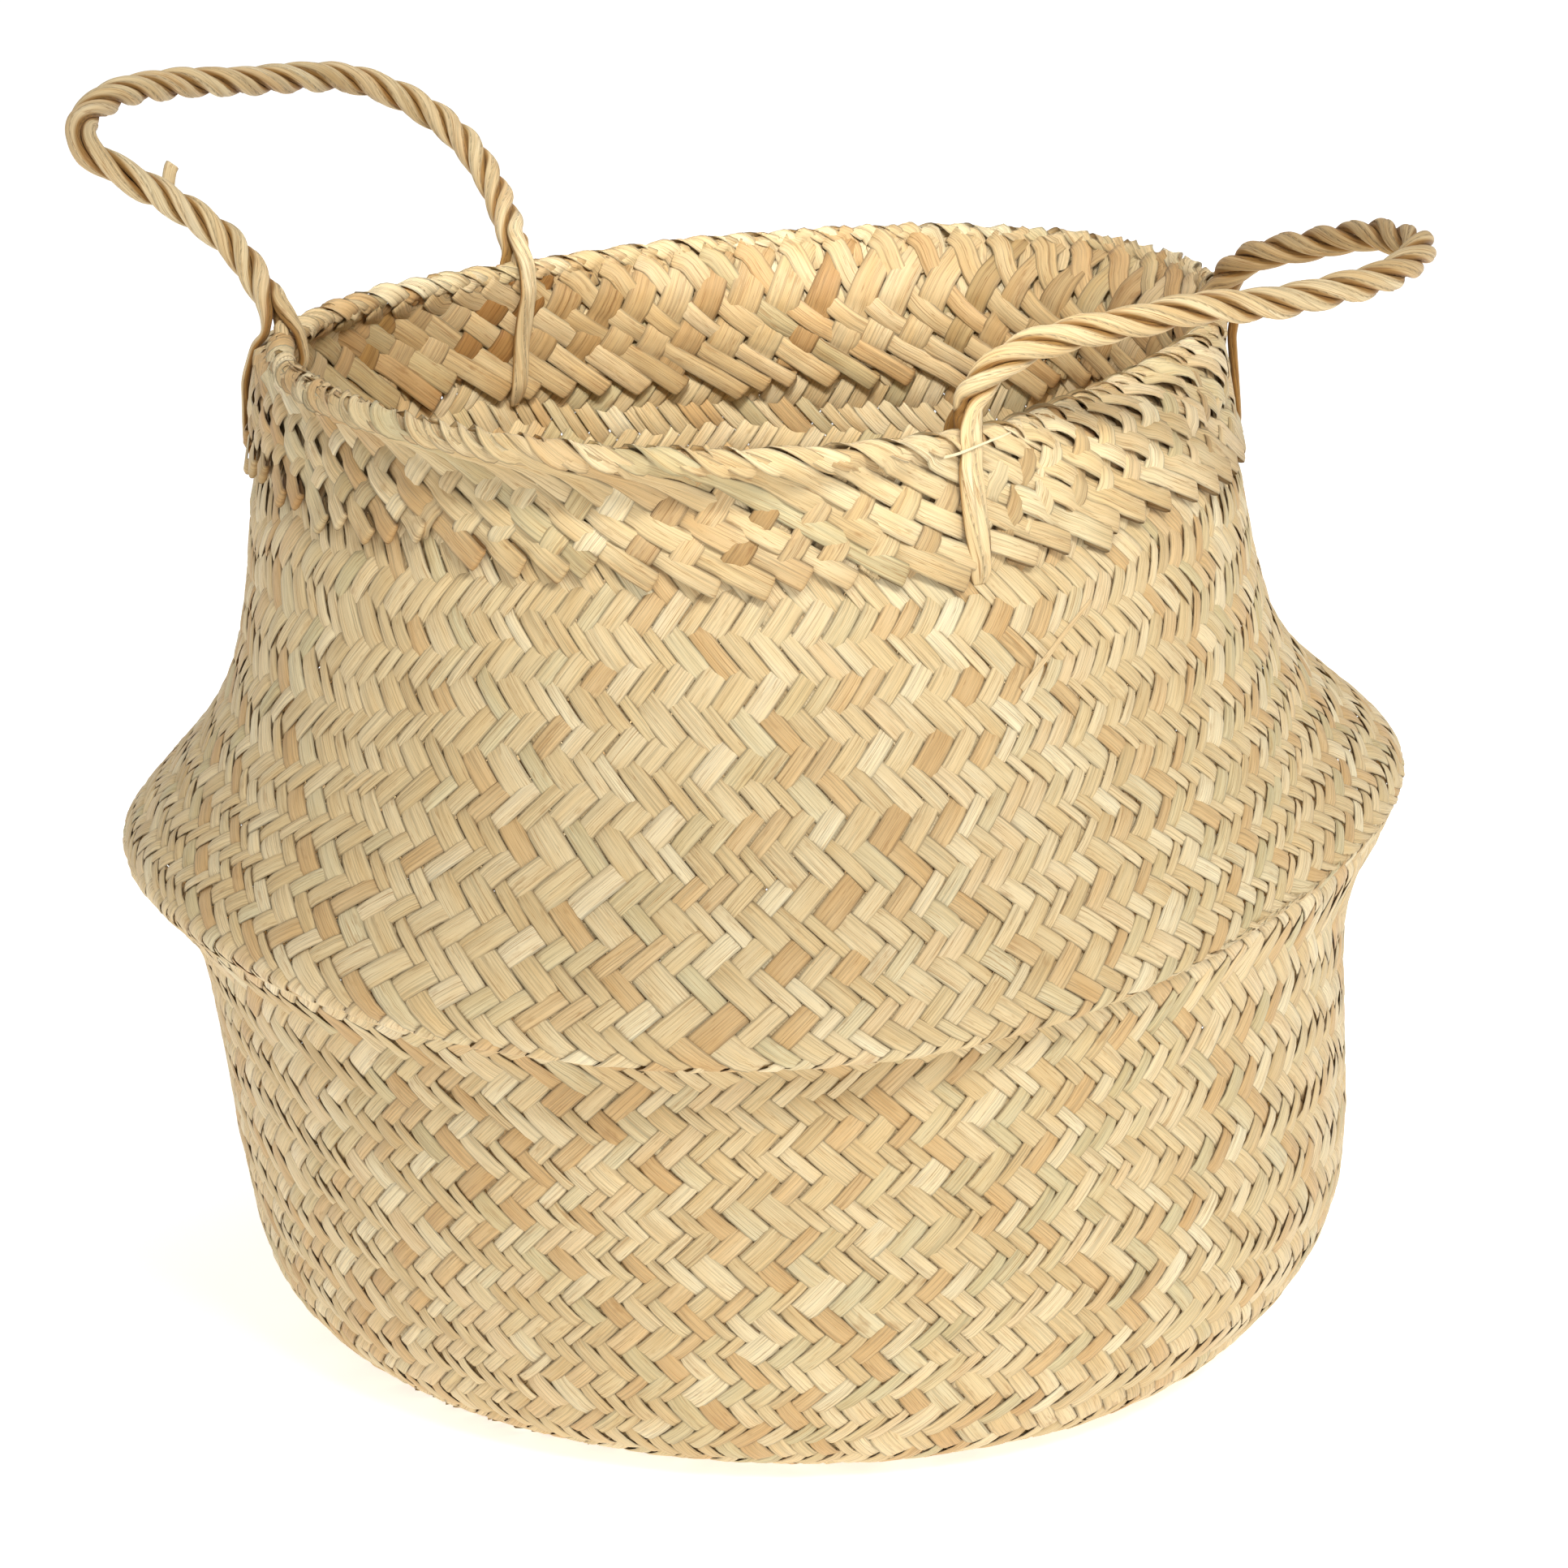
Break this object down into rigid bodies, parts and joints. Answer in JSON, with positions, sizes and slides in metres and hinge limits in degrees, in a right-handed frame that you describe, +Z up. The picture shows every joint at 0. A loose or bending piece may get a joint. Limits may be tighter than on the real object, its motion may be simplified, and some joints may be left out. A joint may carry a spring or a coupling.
{
  "type": "seagrass storage basket",
  "caption": "Plaited seagrass basket with a belly that folds down, a turned-down rim band and twisted rope handles that swing over the opening.",
  "frame": {"origin": "centre of the flat bottom, on the floor", "axes": "+Z up out of the opening, -Y the front, +X to the right, where the lower of the two handles is"},
  "size_m": [0.3503, 0.3376, 0.3197],
  "materials": {
    "seagrass_wall": "matte plaited straw",
    "seagrass_base": "matte plaited straw",
    "seagrass_rim": "matte folded straw",
    "seagrass_rope": "matte twisted straw"
  },
  "bodies": {
    "base": {"base_mat": "seagrass_base", "base_edge": "seagrass_wall", "lower_wall": "seagrass_wall", "belly_fold": "seagrass_wall"},
    "collar": {"upper_wall": "seagrass_wall", "rim_band_outer": "seagrass_rim", "rim_band_inner": "seagrass_rim", "rim_roll": "seagrass_rim", "left_front_leg_outer": "seagrass_rope", "left_front_leg_inner": "seagrass_rope", "left_rear_leg_outer": "seagrass_rope", "left_rear_leg_inner": "seagrass_rope", "right_front_leg_outer": "seagrass_rope", "right_front_leg_inner": "seagrass_rope", "right_rear_leg_outer": "seagrass_rope", "right_rear_leg_inner": "seagrass_rope", "loose_sliver": "seagrass_wall"},
    "left_handle": {"left_handle_ply_a": "seagrass_rope", "left_handle_ply_b": "seagrass_rope", "left_handle_ply_c": "seagrass_rope", "left_handle_stub": "seagrass_rope"},
    "right_handle": {"right_handle_ply_a": "seagrass_rope", "right_handle_ply_b": "seagrass_rope", "right_handle_ply_c": "seagrass_rope"}
  },
  "joints": [
    {"name": "collar_slide", "type": "slide", "parent": "base", "child": "collar", "axis": [0, 0, 1], "range_m": [-0.035, 0.02], "deforming": ["belly_fold"]},
    {"name": "left_swing", "type": "hinge", "parent": "collar", "child": "left_handle", "pos_m": [-0.09641, 0.04994, 0.26602], "axis": [0.536, 0.844, 0.0176], "range_deg": [-28, 125]},
    {"name": "right_swing", "type": "hinge", "parent": "collar", "child": "right_handle", "pos_m": [0.0812, -0.04427, 0.26767], "axis": [-0.4859, -0.873, -0.0416], "range_deg": [-12, 110]}
  ]
}
